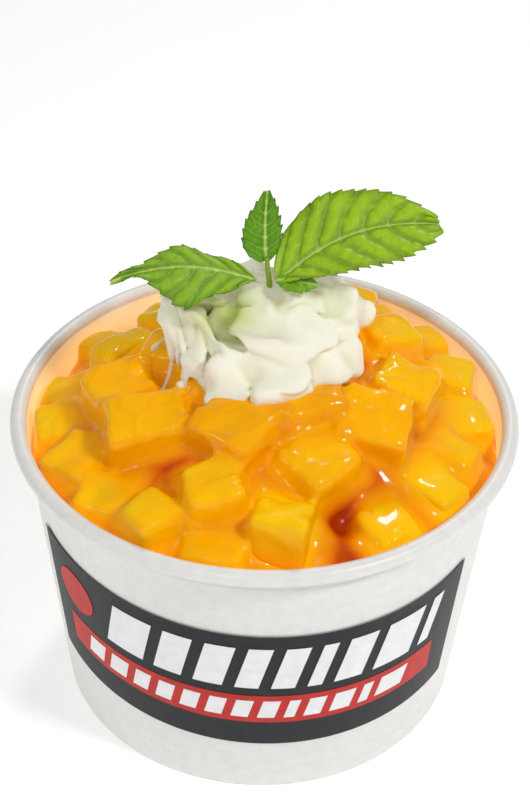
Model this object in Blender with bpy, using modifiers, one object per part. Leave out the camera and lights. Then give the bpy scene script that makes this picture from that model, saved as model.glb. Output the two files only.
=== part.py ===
"""A mango shaved ice dessert in a paper cup, heaped with mango dice, cream and a sprig of mint.

The origin is the middle of the cup's foot, +Z is up and the front of the cup faces -Y.
"""

import math
import random

import bmesh
import bpy
from mathutils import Euler, Vector

# The cup: a tapered paper wall, rolled outward at the rim and folded in at the foot.
CUP_HEIGHT = 0.073
RIM_RADIUS = 0.056
ROLL_RADIUS = 0.0018
FOOT_RADIUS = 0.0465
PAPER = 0.0006
HEM_THICKNESS = 0.0014
HEM_HEIGHT = 0.0062
TURN_STEPS = 60
ROLL_STEPS = 8
WALL_RADIUS = RIM_RADIUS - 2 * ROLL_RADIUS + PAPER

# The label: a straight paper strip wrapped round the front of the wall, in degrees from the front.
LABEL_LEFT = -64
LABEL_RIGHT = 58
LABEL_BOTTOM = 0.0162
LABEL_TOP = 0.0522
LABEL_TILT = -1.4
LABEL_PAPER = 0.0003
LABEL_STEPS = 24

# The heap: a dome that stands higher at the front, with the sauced ice a little below its top.
HEAP_EDGE = 0.0665
HEAP_LEAN = 0.0055
HEAP_PEAK = 0.0885
HEAP_RADIUS = 0.052
HEAP_POWER = 2.6
SAUCE_DEPTH = 0.0050
SAUCE_EDGE = 0.0020
ICE_RINGS = 9
ICE_STEPS = 40
GAP = 0.0003

# The mango dice: their cut edges, how unevenly they are cut, and the least room between two.
DICE_EDGE = 0.0014
CUT_ERROR = 0.07
DICE_ROOM = 0.0007
SETTLE_ROUNDS = 200
LEAST_CROSS = 0.05
MILLIMETRE = 0.001

# Each die: its top's middle across, back and up, its three sizes in mm, then its turn and its
# forward and sideways lean in degrees. DICE_ROWS adds how freely a neighbour may push it.
FRONT_DICE = (
    (4, -38, 79, 12, 10, 13, -16, -12, 0),
    (8, -29, 82, 13, 12, 12, 45, 8, 0),
    (21, -18, 85, 13, 13, 14, -8, 16, 6),
    (31, 0, 83, 13, 12, 14, -22, 4, 12),
    (-24, -19, 84, 16, 12, 13, 8, 10, -6),
    (-22, -37, 77, 10, 10, 12, 40, 8, -4),
    (-10, -38, 80, 11, 11, 12, 14, 8, -2),
    (-8, -25, 85, 13, 12, 12, -34, 12, -2),
    (7, -17, 86, 11, 10, 11, 20, 6, 0),
    (27, -40, 73, 11, 11, 12, 38, 4, 4),
    (39, -25, 74, 13, 10, 12, -41, 4, 6),
    (-32, -36, 73, 11, 10, 12, -24, 6, -4),
    (-10, -46, 72, 12, 6, 11, -8, 2, 0),
)
SIDE_DICE = (
    (45, -4, 73, 11, 12, 12, 12, 0, 4),
    (41, -15, 74, 10, 9, 12, -30, 0, 4),
    (41, 10, 75, 11, 12, 12, -10, 0, 6),
    (26, 16, 82, 12, 12, 12, 24, -8, 6),
    (-40, -22, 74, 10, 11, 12, -36, 4, -4),
    (-45, -6, 72, 11, 12, 12, 6, 2, -4),
    (-46, 8, 70, 9, 11, 11, -10, -2, -4),
    (-33, -5, 81, 12, 11, 12, 30, 4, -6),
    (-24, 5, 84, 11, 11, 12, -14, 2, -6),
    (-34, 13, 78, 16, 9, 11, 40, -8, -8),
    (-26, 23, 78, 11, 10, 12, 64, -12, -6),
)
BACK_DICE = (
    (36, 25, 73, 12, 11, 12, 30, -8, 6),
    (21, 27, 78, 12, 12, 12, -18, -10, 6),
    (8, 29, 79, 13, 12, 12, 12, -10, 2),
    (-9, 29, 79, 13, 12, 12, -24, -10, -2),
    (-18, 38, 71, 12, 10, 12, 22, -12, -6),
    (-2, 39, 71, 12, 9, 11, 4, -11, 1),
    (14, 38, 71, 12, 9, 12, -14, -12, 6),
    (28, 34, 72, 11, 10, 12, -44, -10, 6),
    (-36, 26, 71, 10, 11, 11, 50, -6, -6),
    (9, 10, 86, 13, 13, 12, 8, -6, 2),
    (-9, 11, 86, 13, 13, 12, -30, -4, -4),
    (13, -4, 86, 13, 12, 12, -12, 0, 4),
    (-9, -8, 86, 13, 12, 12, 26, 2, -2),
    (4, 20, 83, 12, 7, 11, 10, -10, 0),
    (-12, 20, 83, 10, 7, 11, -22, -10, -4),
)

DICE_ROWS = ((FRONT_DICE, 0.2), (SIDE_DICE, 0.4), (BACK_DICE, 1.0))

# The cream: a ruffled dollop on top of the heap.
CREAM_PLACE = (-0.0010, -0.001, 0.0890)
CREAM_RADIUS = 0.0220
CREAM_RISE = 0.0165
CREAM_DROP = 0.009
CREAM_RUFFLES = 7
CREAM_FOLDS = 0.11

# The mint: one stem and four leaves, from their foot to their tip.
STEM_PATH = ((0.0004, 0.0015, 0.0985), (0.0004, 0.0008, 0.104), (0.0001, 0.0002, 0.1095))
STEM_RADIUS = 0.0007
LEAF_PAPER = 0.0006
LEAF_ROWS = 20

COLOURS = {
    "paper": (0.86, 0.86, 0.84, 1),
    "label": (0.02, 0.025, 0.03, 1),
    "sauce": (0.80, 0.33, 0.01, 1),
    "mango": (0.95, 0.52, 0.01, 1),
    "cream": (0.90, 0.90, 0.80, 1),
    "mint": (0.12, 0.32, 0.02, 1),
}


def clear_scene():
    for old in list(bpy.data.objects):
        bpy.data.objects.remove(old, do_unlink=True)


def new_collection(name):
    collection = bpy.data.collections.new(name)
    bpy.context.scene.collection.children.link(collection)
    return collection


def finish(name, colour, roughness):
    """A plain material with the sub-part's own name and colour."""
    material = bpy.data.materials.new(name)
    material.use_nodes = True
    shader = material.node_tree.nodes["Principled BSDF"]
    shader.inputs["Base Color"].default_value = COLOURS[colour]
    shader.inputs["Roughness"].default_value = roughness
    shader.inputs["Metallic"].default_value = 0.0
    return material


def add_part(name, mesh, colour, roughness=0.4):
    part = bpy.data.objects.new(name, mesh)
    parts.objects.link(part)
    mesh.materials.append(finish(name, colour, roughness))
    return part


def add_cutter(name, mesh):
    cutter = bpy.data.objects.new(name, mesh)
    cutters.objects.link(cutter)
    cutter.hide_render = True
    cutter.display_type = "WIRE"
    return cutter


def turned(name, profile, closed, steps):
    """A profile in the XZ plane, listed down its outer side, ready for a Screw modifier."""
    mesh = bpy.data.meshes.new(name)
    points = [(radius, 0.0, height) for radius, height in profile]
    edges = [(i, i + 1) for i in range(len(points) - 1)]
    if closed:
        edges.append((len(points) - 1, 0))
    mesh.from_pydata(points, edges, [])
    holder = bpy.data.objects.new(name, mesh)
    bpy.context.scene.collection.objects.link(holder)
    turn_round(holder, steps)
    return baked(holder)


def turn_round(part, steps):
    screw = part.modifiers.new("turn", "SCREW")
    screw.steps = steps
    screw.render_steps = steps
    screw.use_merge_vertices = True
    screw.merge_threshold = 0.00001
    screw.use_smooth_shade = True


def baked(holder):
    """The evaluated mesh of a holder object, which is then removed."""
    graph = bpy.context.evaluated_depsgraph_get()
    mesh = bpy.data.meshes.new_from_object(holder.evaluated_get(graph))
    mesh.name = holder.name
    mesh.materials.clear()
    bpy.data.objects.remove(holder, do_unlink=True)
    return mesh


def wall_outside(height):
    """The outer radius of the tapered wall."""
    return FOOT_RADIUS + (WALL_RADIUS - FOOT_RADIUS) * height / (CUP_HEIGHT - ROLL_RADIUS)


def wall_inside(height):
    return wall_outside(height) - PAPER


def sauce_level(x, y):
    """The top of the sauced ice, which dips between the dice and climbs a little up the wall."""
    share = min(math.hypot(x, y) / HEAP_RADIUS, 1.0)
    edge = HEAP_EDGE - HEAP_LEAN * y / HEAP_RADIUS
    dome = edge + (HEAP_PEAK - edge) * (1.0 - share**HEAP_POWER)
    return dome - SAUCE_DEPTH + (SAUCE_DEPTH - SAUCE_EDGE) * share**6


def make_cup():
    roll_x = RIM_RADIUS - ROLL_RADIUS
    roll_z = CUP_HEIGHT - ROLL_RADIUS
    start = math.pi
    end = -math.acos((wall_outside(roll_z - ROLL_RADIUS) - roll_x) / ROLL_RADIUS)
    profile = []
    for step in range(ROLL_STEPS + 1):
        angle = start + (end - start) * step / ROLL_STEPS
        profile.append((roll_x + ROLL_RADIUS * math.cos(angle), roll_z + ROLL_RADIUS * math.sin(angle)))
    profile.append((FOOT_RADIUS, 0.0))
    profile.append((FOOT_RADIUS - HEM_THICKNESS, 0.0))
    profile.append((wall_outside(HEM_HEIGHT) - HEM_THICKNESS, HEM_HEIGHT))
    profile.append((wall_inside(HEM_HEIGHT), HEM_HEIGHT))
    add_part("cup_wall", turned("cup_wall", profile, True, TURN_STEPS), "paper")

    top = HEM_HEIGHT + GAP + PAPER
    edge = wall_inside(HEM_HEIGHT + GAP) - GAP
    disc = ((0.0, top), (edge, top), (edge, top - PAPER), (0.0, top - PAPER))
    add_part("cup_bottom", turned("cup_bottom", disc, False, TURN_STEPS), "paper")


def label_point(degrees, height, lift):
    """A point of the strip: a straight band on a cone climbs a little towards both of its ends."""
    slope = math.atan2(WALL_RADIUS - FOOT_RADIUS, CUP_HEIGHT - ROLL_RADIUS)
    reach = wall_outside(height) / math.sin(slope)
    angle = math.radians(degrees)
    climb = reach * (1.0 / math.cos(angle * math.sin(slope)) - 1.0)
    tilt = wall_outside(height) * angle * math.tan(math.radians(LABEL_TILT))
    level = height + climb + tilt
    radius = wall_outside(level) + lift
    return Vector((radius * math.sin(angle), -radius * math.cos(angle), level))


def make_label():
    bm = bmesh.new()
    rows = []
    for step in range(LABEL_STEPS + 1):
        degrees = LABEL_LEFT + (LABEL_RIGHT - LABEL_LEFT) * step / LABEL_STEPS
        rows.append([bm.verts.new(label_point(degrees, height, GAP)) for height in (LABEL_BOTTOM, LABEL_TOP)])
    for left, right in zip(rows, rows[1:]):
        bm.faces.new((left[0], right[0], right[1], left[1]))
    mesh = bpy.data.meshes.new("label")
    bm.to_mesh(mesh)
    bm.free()
    part = add_part("label", mesh, "label")
    shell = part.modifiers.new("paper", "SOLIDIFY")
    shell.thickness = LABEL_PAPER
    shell.offset = 1.0


def block_mesh(name, sizes, error, margin):
    """A block a margin larger all round, whose corners each stray inward the way a knife leaves them."""
    bm = bmesh.new()
    bmesh.ops.create_cube(bm, size=1.0)
    for corner in bm.verts:
        for axis in range(3):
            corner.co[axis] *= (sizes[axis] + 2 * margin) * (1.0 - error * random.random())
    mesh = bpy.data.meshes.new(name)
    bm.to_mesh(mesh)
    bm.free()
    return mesh


def dice_rows():
    """Every die as its sizes, its rotation and the middle of its block, in metres."""
    dice = []
    for rows, freedom in DICE_ROWS:
        for x, y, z, length, width, height, turn, forward, sideways in rows:
            sizes = Vector((length, width, height)) * MILLIMETRE
            lean = Euler((math.radians(forward), math.radians(sideways), 0.0)).to_matrix()
            rotation = lean @ Euler((0.0, 0.0, math.radians(turn))).to_matrix()
            middle = Vector((x, y, z)) * MILLIMETRE - rotation @ Vector((0.0, 0.0, sizes.z / 2))
            dice.append({"sizes": sizes, "rotation": rotation, "middle": middle, "freedom": freedom})
    return dice


def overlap(first, second):
    """The shortest push that parts two blocks, or None where they are already apart."""
    gap = second["middle"] - first["middle"]
    reach = first["sizes"].length / 2 + second["sizes"].length / 2 + DICE_ROOM
    if gap.length > reach:
        return None
    first_axes = list(first["rotation"].transposed())
    second_axes = list(second["rotation"].transposed())
    axes = first_axes + second_axes
    for one in first_axes:
        for other in second_axes:
            across = one.cross(other)
            if across.length > LEAST_CROSS:
                axes.append(across.normalized())
    shortest = None
    for axis in axes:
        half = DICE_ROOM
        for block, own in ((first, first_axes), (second, second_axes)):
            half += sum(abs(axis.dot(own[i])) * block["sizes"][i] / 2 for i in range(3))
        depth = half - abs(gap.dot(axis))
        if depth <= 0.0:
            return None
        if shortest is None or depth < shortest.length:
            shortest = axis * (depth if gap.dot(axis) > 0 else -depth)
    return shortest


def inside_wall(block):
    """The push that brings a block's outermost corner back inside the cup."""
    worst = Vector((0.0, 0.0, 0.0))
    for signs in ((a, b, c) for a in (-1, 1) for b in (-1, 1) for c in (-1, 1)):
        half = Vector([signs[i] * block["sizes"][i] / 2 for i in range(3)])
        corner = block["middle"] + block["rotation"] @ half
        if corner.z > CUP_HEIGHT + GAP:
            continue
        across = Vector((corner.x, corner.y, 0.0))
        excess = across.length + DICE_ROOM - wall_inside(corner.z)
        if excess > worst.length:
            worst = -across.normalized() * excess
    return worst


def settle(dice):
    """Pushes the dice apart, and away from the wall, until none touch."""
    for _ in range(SETTLE_ROUNDS):
        moved = 0.0
        for i, first in enumerate(dice):
            for second in dice[i + 1:]:
                push = overlap(first, second)
                if push is None:
                    continue
                share = first["freedom"] / (first["freedom"] + second["freedom"])
                for block, step in ((first, -push * share), (second, push * (1.0 - share))):
                    step.z = max(step.z, 0.0)
                    block["middle"] += step
                moved = max(moved, push.length)
        for block in dice:
            push = inside_wall(block)
            block["middle"] += push
            moved = max(moved, push.length)
        if moved < GAP / 4:
            break


def make_dice():
    """The dice, and for each a slightly larger room that is cut out of what it lies in."""
    dice = dice_rows()
    settle(dice)
    for number, die in enumerate(dice, 1):
        place = die["rotation"].to_4x4()
        place.translation = die["middle"]
        name = f"mango_dice_{number:02d}"
        part = add_part(name, block_mesh(name, die["sizes"], CUT_ERROR, 0.0), "mango")
        part.matrix_world = place
        bevel = part.modifiers.new("cut edges", "BEVEL")
        bevel.width = DICE_EDGE
        bevel.segments = 1
        name = f"room_{number:02d}"
        room = add_cutter(name, block_mesh(name, die["sizes"], 0.0, GAP))
        room.matrix_world = place
        dice_rooms.objects.link(room)


def keep_largest(mesh):
    """Drops every loose crumb that a cut leaves beside the main body."""
    bm = bmesh.new()
    bm.from_mesh(mesh)
    bodies = []
    unseen = set(bm.verts)
    while unseen:
        queue = [unseen.pop()]
        body = set(queue)
        while queue:
            for edge in queue.pop().link_edges:
                for vert in edge.verts:
                    if vert in unseen:
                        unseen.discard(vert)
                        body.add(vert)
                        queue.append(vert)
        bodies.append(body)
    bodies.sort(key=len)
    for body in bodies[:-1]:
        bmesh.ops.delete(bm, geom=list(body), context="VERTS")
    bm.to_mesh(mesh)
    bm.free()


def cut_away(name, mesh, others):
    """A mesh with the dice's rooms, and any other cutters, cut out of it."""
    holder = bpy.data.objects.new(name, mesh)
    bpy.context.scene.collection.objects.link(holder)
    cut = holder.modifiers.new("dice", "BOOLEAN")
    cut.operation = "DIFFERENCE"
    cut.operand_type = "COLLECTION"
    cut.collection = dice_rooms
    for other in others:
        cut = holder.modifiers.new("cut", "BOOLEAN")
        cut.operation = "DIFFERENCE"
        cut.object = other
    result = baked(holder)
    keep_largest(result)
    return result


def ice_mesh(name, lift):
    """The sauced ice: a turned block from the cup's floor up, whose top then takes the heap's shape."""
    floor = HEM_HEIGHT + 2 * GAP + PAPER
    edge = wall_inside(HEAP_EDGE - HEAP_LEAN) - GAP
    profile = []
    for ring in range(ICE_RINGS + 1):
        profile.append((edge * math.sin(math.pi / 2 * ring / ICE_RINGS), HEAP_EDGE))
    profile.append((wall_inside(floor) - GAP, floor))
    profile.append((0.0, floor))
    mesh = turned(name, profile, False, ICE_STEPS)
    for vert in mesh.vertices:
        if vert.co.z > floor + GAP:
            vert.co.z = sauce_level(vert.co.x, vert.co.y) + lift
    return mesh


def make_ice():
    whole = ice_mesh("sauced_ice", 0.0)
    add_part("sauced_ice", cut_away("sauced_ice", whole, []), "sauce", 0.2)


def cream_point(direction):
    """The dollop's surface in one direction: ruffles that swirl upward and soften at the top."""
    around = math.atan2(direction.y, direction.x)
    height = direction.z
    level = 1.0 - abs(height)
    swirl = math.sin(CREAM_RUFFLES * around + 3.0 * height)
    frill = math.sin((2 * CREAM_RUFFLES - 3) * around - 5.0 * height + 1.0)
    tier = math.sin(9.0 * height + 1.4 * math.sin(2 * around))
    size = 1.0 + level * CREAM_FOLDS * (0.6 * swirl + 0.45 * frill) + 0.05 * tier * level
    reach = CREAM_RISE if height > 0 else CREAM_DROP
    across = CREAM_RADIUS * size
    return Vector((direction.x * across, direction.y * across, height * reach * (1.0 + 0.06 * swirl * level)))


def make_cream():
    bm = bmesh.new()
    bmesh.ops.create_icosphere(bm, subdivisions=4, radius=1.0)
    for vert in bm.verts:
        vert.co = cream_point(vert.co.normalized()) + Vector(CREAM_PLACE)
    whole = bpy.data.meshes.new("cream_dollop")
    bm.to_mesh(whole)
    bm.free()
    ice_room = add_cutter("ice_room", ice_mesh("ice_room", GAP))
    stem_room = add_cutter("stem_room", stem_mesh("stem_room", STEM_RADIUS + GAP, GAP))
    mesh = cut_away("cream_dollop", whole, [ice_room, stem_room])
    add_part("cream_dollop", mesh, "cream", 0.5)


def stem_mesh(name, radius, longer):
    """A thin tube along the stem's path, with welded ends."""
    curve = bpy.data.curves.new(name, "CURVE")
    curve.dimensions = "3D"
    curve.bevel_depth = radius
    curve.bevel_resolution = 1
    curve.use_fill_caps = True
    curve.resolution_u = 3
    line = curve.splines.new("POLY")
    line.points.add(len(STEM_PATH) - 1)
    for point, place in zip(line.points, STEM_PATH):
        point.co = (*place, 1.0)
    line.points[0].co.z -= longer
    line.points[-1].co.z += longer
    holder = bpy.data.objects.new(name, curve)
    bpy.context.scene.collection.objects.link(holder)
    mesh = baked(holder)
    bm = bmesh.new()
    bm.from_mesh(mesh)
    bmesh.ops.remove_doubles(bm, verts=bm.verts, dist=0.00001)
    bm.to_mesh(mesh)
    bm.free()
    return mesh


def leaf_outline(share):
    """How wide the blade is along its length: broad near the foot and drawn out to the tip."""
    return math.sin(math.pi * share**0.9) ** 0.75


def leaf_point(leaf, along, across):
    foot = Vector(leaf["foot"])
    tip = Vector(leaf["tip"])
    length = (tip - foot).length
    run = (tip - foot).normalized()
    side = Vector(leaf["faces"]).cross(run).normalized()
    out = run.cross(side)
    bow = math.sin(math.pi * along)
    tooth = 1.0 + 0.07 * (1 if round(along * LEAF_ROWS) % 2 else -1)
    half = leaf["width"] / 2 * leaf_outline(along) * tooth
    fold = math.radians(leaf["fold"])
    place = foot + run * length * along + side * leaf["bend"] * bow + out * leaf["arch"] * bow
    place += side * across * half * math.cos(fold) + out * abs(across) * half * math.sin(fold)
    place += out * leaf["wave"] * across * across * math.sin(leaf["waves"] * 2 * math.pi * along)
    return place


LEAVES = {
    "mint_leaf_right": {
        "foot": (0.0022, -0.002, 0.1065), "tip": (0.0357, 0.001, 0.1200), "faces": (-0.25, -0.55, 0.80),
        "width": 0.0168, "bend": 0.0052, "arch": 0.0020, "fold": 8, "wave": 0.0006, "waves": 3,
    },
    "mint_leaf_centre": {
        "foot": (-0.0003, 0.0012, 0.1100), "tip": (-0.0002, 0.0045, 0.1245), "faces": (0.0, -0.95, 0.30),
        "width": 0.0076, "bend": 0.0010, "arch": -0.0006, "fold": 14, "wave": 0.0003, "waves": 2,
    },
    "mint_leaf_left": {
        "foot": (-0.0017, -0.002, 0.1067), "tip": (-0.0328, -0.003, 0.1062), "faces": (-0.10, -0.45, 0.89),
        "width": 0.0130, "bend": 0.0003, "arch": 0.0035, "fold": -6, "wave": 0.0010, "waves": 2,
    },
    "mint_leaf_small": {
        "foot": (0.0036, -0.0062, 0.1055), "tip": (0.0108, -0.0088, 0.1058), "faces": (0.1, -0.55, 0.83),
        "width": 0.0045, "bend": 0.0, "arch": 0.0004, "fold": 4, "wave": 0.0002, "waves": 1,
    },
}


def make_leaf(name, leaf):
    columns = (-1.0, -0.5, 0.0, 0.5, 1.0)
    bm = bmesh.new()
    rows = []
    for step in range(LEAF_ROWS + 1):
        along = 0.02 + 0.97 * step / LEAF_ROWS
        rows.append([bm.verts.new(leaf_point(leaf, along, across)) for across in columns])
    for near, far in zip(rows, rows[1:]):
        for i in range(len(columns) - 1):
            bm.faces.new((near[i], far[i], far[i + 1], near[i + 1]))
    mesh = bpy.data.meshes.new(name)
    bm.normal_update()
    bm.to_mesh(mesh)
    bm.free()
    part = add_part(name, mesh, "mint", 0.5)
    shell = part.modifiers.new("blade", "SOLIDIFY")
    shell.thickness = LEAF_PAPER
    shell.offset = 0.0


def make_mint():
    add_part("mint_stem", stem_mesh("mint_stem", STEM_RADIUS, 0.0), "mint", 0.5)
    for name, leaf in LEAVES.items():
        make_leaf(name, leaf)


clear_scene()
random.seed(7)
parts = new_collection("mango_shaved_ice")
cutters = new_collection("cutters")
dice_rooms = new_collection("dice_rooms")
make_cup()
make_label()
make_dice()
bpy.context.view_layer.update()
make_ice()
make_cream()
make_mint()
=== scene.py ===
import math
import random

import bmesh
import bpy
import numpy as np
from mathutils import Matrix, Vector, noise
from mathutils.bvhtree import BVHTree


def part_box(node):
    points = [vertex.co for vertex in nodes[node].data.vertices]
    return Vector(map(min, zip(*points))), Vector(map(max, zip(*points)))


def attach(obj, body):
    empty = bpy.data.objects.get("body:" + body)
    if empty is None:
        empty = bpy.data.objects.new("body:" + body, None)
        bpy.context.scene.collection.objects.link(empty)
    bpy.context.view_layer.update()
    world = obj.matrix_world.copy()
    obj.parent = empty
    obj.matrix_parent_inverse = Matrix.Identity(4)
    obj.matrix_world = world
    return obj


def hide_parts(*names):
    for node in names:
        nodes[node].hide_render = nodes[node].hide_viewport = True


# Mango shaved ice in a paper cup: the looks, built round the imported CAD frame.
# Shapes are worked out in millimetres and turned to metres when a mesh is made.
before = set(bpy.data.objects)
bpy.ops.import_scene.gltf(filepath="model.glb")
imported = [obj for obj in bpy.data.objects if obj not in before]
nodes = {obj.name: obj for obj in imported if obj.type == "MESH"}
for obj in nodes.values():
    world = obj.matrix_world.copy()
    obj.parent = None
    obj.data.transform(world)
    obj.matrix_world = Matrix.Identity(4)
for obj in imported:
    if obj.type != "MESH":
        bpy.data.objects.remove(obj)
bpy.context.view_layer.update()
mm = 0.001


def linear(hexColour):
    # sRGB hex to the linear colour that the shaders take
    values = [int(hexColour[i:i + 2], 16) / 255 for i in (1, 3, 5)]
    return [v / 12.92 if v <= 0.04045 else ((v + 0.055) / 1.055) ** 2.4 for v in values] + [1.0]


def addNode(tree, kind, settings=None, links=None):
    node = tree.nodes.new(kind)
    for name, value in (settings or {}).items():
        if isinstance(name, int) or name in node.inputs:
            node.inputs[name].default_value = value
        else:
            setattr(node, name, value)
    for name, output in (links or {}).items():
        tree.links.new(output, node.inputs[name])
    return node


def newMaterial(name, settings):
    material = bpy.data.materials.new(name)
    material.use_nodes = True
    shader = material.node_tree.nodes["Principled BSDF"]
    for key, value in settings.items():
        shader.inputs[key].default_value = value
    return material, material.node_tree, shader


def colourRamp(tree, factor, stops):
    ramp = addNode(tree, "ShaderNodeValToRGB", links={"Fac": factor})
    while len(ramp.color_ramp.elements) < len(stops):
        ramp.color_ramp.elements.new(1.0)
    for element, (place, hexColour) in zip(ramp.color_ramp.elements, stops):
        element.position = place
        element.color = linear(hexColour)
    return ramp


def noiseAt(tree, sizeMm, detail=3.0, roughness=0.55):
    # a noise whose blobs are about sizeMm across, in the object's own coordinates
    place = addNode(tree, "ShaderNodeTexCoord")
    return addNode(tree, "ShaderNodeTexNoise",
                   {"Scale": 1.0 / (sizeMm * mm), "Detail": detail, "Roughness": roughness},
                   {"Vector": place.outputs["Object"]})


def addBump(tree, shader, height, depthMm, strength=1.0):
    bump = addNode(tree, "ShaderNodeBump", {"Distance": depthMm * mm, "Strength": strength},
                   {"Height": height})
    tree.links.new(bump.outputs["Normal"], shader.inputs["Normal"])
    return bump


def meshPiece(name, points, faces, material, smooth=True, values=None):
    # points in millimetres; values holds one number a point for each named attribute
    mesh = bpy.data.meshes.new(name)
    mesh.from_pydata([tuple(p) for p in np.asarray(points) * mm], [], [list(f) for f in faces])
    mesh.update()
    for key, numbers in (values or {}).items():
        attribute = mesh.attributes.new(key, "FLOAT", "POINT")
        attribute.data.foreach_set("value", np.asarray(numbers, np.float32))
    if smooth:
        mesh.shade_smooth()
    piece = bpy.data.objects.new(name, mesh)
    bpy.context.scene.collection.objects.link(piece)
    mesh.materials.append(material)
    return piece


def ripple(points, length, seed, waves=7):
    # a smooth field of about -1 to 1 made of a few plane waves of about that length
    draw = random.Random(seed)
    total = np.zeros(len(points))
    for _ in range(waves):
        direction = np.array([draw.gauss(0, 1) for _ in range(3)])
        direction *= 2 * math.pi / (np.linalg.norm(direction) * length * draw.uniform(0.75, 1.35))
        total += np.sin(points @ direction + draw.uniform(0, 2 * math.pi))
    return total / math.sqrt(waves * 1.4)


def smoothStep(x):
    x = np.clip(x, 0.0, 1.0)
    return x * x * (3 - 2 * x)


def surfaceNet(field, low, step):
    # the zero surface of a field sampled on a grid, negative inside, as points and quads
    inside = field < 0
    shape = np.array(field.shape) - 1
    corners = [(i, j, k) for i in (0, 1) for j in (0, 1) for k in (0, 1)]
    count = sum(inside[i:i + shape[0], j:j + shape[1], k:k + shape[2]].astype(np.int8)
                for i, j, k in corners)
    cells = np.argwhere((count > 0) & (count < 8))
    value = {c: field[cells[:, 0] + c[0], cells[:, 1] + c[1], cells[:, 2] + c[2]] for c in corners}
    total = np.zeros((len(cells), 3))
    hits = np.zeros(len(cells))
    for a in corners:
        for axis in range(3):
            if a[axis]:
                continue
            b = tuple(1 if i == axis else a[i] for i in range(3))
            crosses = (value[a] < 0) != (value[b] < 0)
            share = np.where(crosses, value[a] / np.where(crosses, value[a] - value[b], 1.0), 0.0)
            spot = np.tile(np.array(a, float), (len(cells), 1))
            spot[:, axis] = share
            total += spot * crosses[:, None]
            hits += crosses
    points = (cells + total / hits[:, None]) * step + np.array(low)
    number = np.full(shape, -1)
    number[cells[:, 0], cells[:, 1], cells[:, 2]] = np.arange(len(cells))
    quads = []
    for axis in range(3):
        u, v = [(1, 2), (2, 0), (0, 1)][axis]
        one = np.moveaxis(inside, (axis, u, v), (0, 1, 2))
        grid = np.moveaxis(number, (axis, u, v), (0, 1, 2))
        change = one[:-1, 1:-1, 1:-1] != one[1:, 1:-1, 1:-1]
        i, j, k = np.nonzero(change)
        ring = [grid[i, j, k], grid[i, j + 1, k], grid[i, j + 1, k + 1], grid[i, j, k + 1]]
        quad = np.stack(ring, 1)
        outward = one[i, j + 1, k + 1]
        quad[~outward] = quad[~outward][:, ::-1]
        quads.append(quad)
    return points, np.concatenate(quads)


def gridPoints(low, high, step):
    axes = [np.arange(a, b + step, step) for a, b in zip(low, high)]
    return np.stack(np.meshgrid(*axes, indexing="ij"), -1)


# metres, degrees, and a lens in mm on a 36 mm sensor
cameraSet = {"place": (0.0, -0.29805, 0.30327), "elevation": 37.51, "roll": 1.30, "lens": 77.2}
lights = {
    # place and target in metres, size across, power in watts, colour
    "keySoftbox": ((0.40, -0.30, 0.60), (0.0, 0.0, 0.07), 0.12, 2.15, "#FFFFFF"),
    "leftStrip": ((-0.55, -0.22, 0.36), (0.0, 0.0, 0.06), 0.20, 0.5, "#FFFFFF"),
    "backSoftbox": ((0.10, 0.52, 0.60), (0.0, 0.0, 0.08), 0.12, 1.2, "#FFFDF8"),
    "frontGlint": ((-0.14, -0.50, 0.62), (0.0, 0.0, 0.07), 0.05, 1.0, "#FFFFFF"),
}
worldSet = {"colour": "#FFFFFF", "strength": 0.29}
floorSet = {"half": 3000.0, "level": -0.3, "glow": 0.27}    # mm; the glow stands for the light set behind it


def makeStage():
    data = bpy.data.cameras.new("camera")
    data.lens = cameraSet["lens"]
    data.sensor_width = 36.0
    camera = bpy.data.objects.new("camera", data)
    slope = math.radians(cameraSet["elevation"])
    back = Vector((0.0, -math.cos(slope), math.sin(slope)))
    right = Vector((1.0, 0.0, 0.0))
    turn = Matrix((right, back.cross(right), back)).transposed().to_4x4()
    roll = Matrix.Rotation(math.radians(cameraSet["roll"]), 4, "Z")
    camera.matrix_world = Matrix.Translation(cameraSet["place"]) @ turn @ roll
    bpy.context.scene.collection.objects.link(camera)
    bpy.context.scene.camera = camera

    world = bpy.data.worlds.new("studio")
    world.use_nodes = True
    sky = world.node_tree.nodes["Background"]
    sky.inputs["Color"].default_value = linear(worldSet["colour"])
    sky.inputs["Strength"].default_value = worldSet["strength"]
    bpy.context.scene.world = world
    bpy.context.scene.view_settings.view_transform = "Standard"

    for name, (place, target, size, power, colour) in lights.items():
        lamp = bpy.data.lights.new(name, "AREA")
        lamp.shape = "RECTANGLE"
        lamp.size = size
        lamp.size_y = size * 0.7
        lamp.energy = power
        lamp.color = linear(colour)[:3]
        holder = bpy.data.objects.new(name, lamp)
        holder.location = place
        holder.rotation_euler = (Vector(target) - Vector(place)).to_track_quat("-Z", "Y").to_euler()
        bpy.context.scene.collection.objects.link(holder)

    # seamless studio paper, matte and nearly white, with a faint tooth
    paper, tree, shader = newMaterial("seamlessPaperMatte", {
        "Roughness": 0.9, "Emission Strength": floorSet["glow"]})
    grain = noiseAt(tree, 1.2)
    tone = colourRamp(tree, grain.outputs["Fac"], ((0.3, "#FAFAFA"), (0.7, "#FFFFFF")))
    tree.links.new(tone.outputs["Color"], shader.inputs["Base Color"])
    corners = [(x * floorSet["half"], y * floorSet["half"], floorSet["level"])
               for x, y in ((-1, -1), (1, -1), (1, 1), (-1, 1))]
    floor = meshPiece("floor", corners, [(0, 1, 2, 3)], paper, False)


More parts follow.
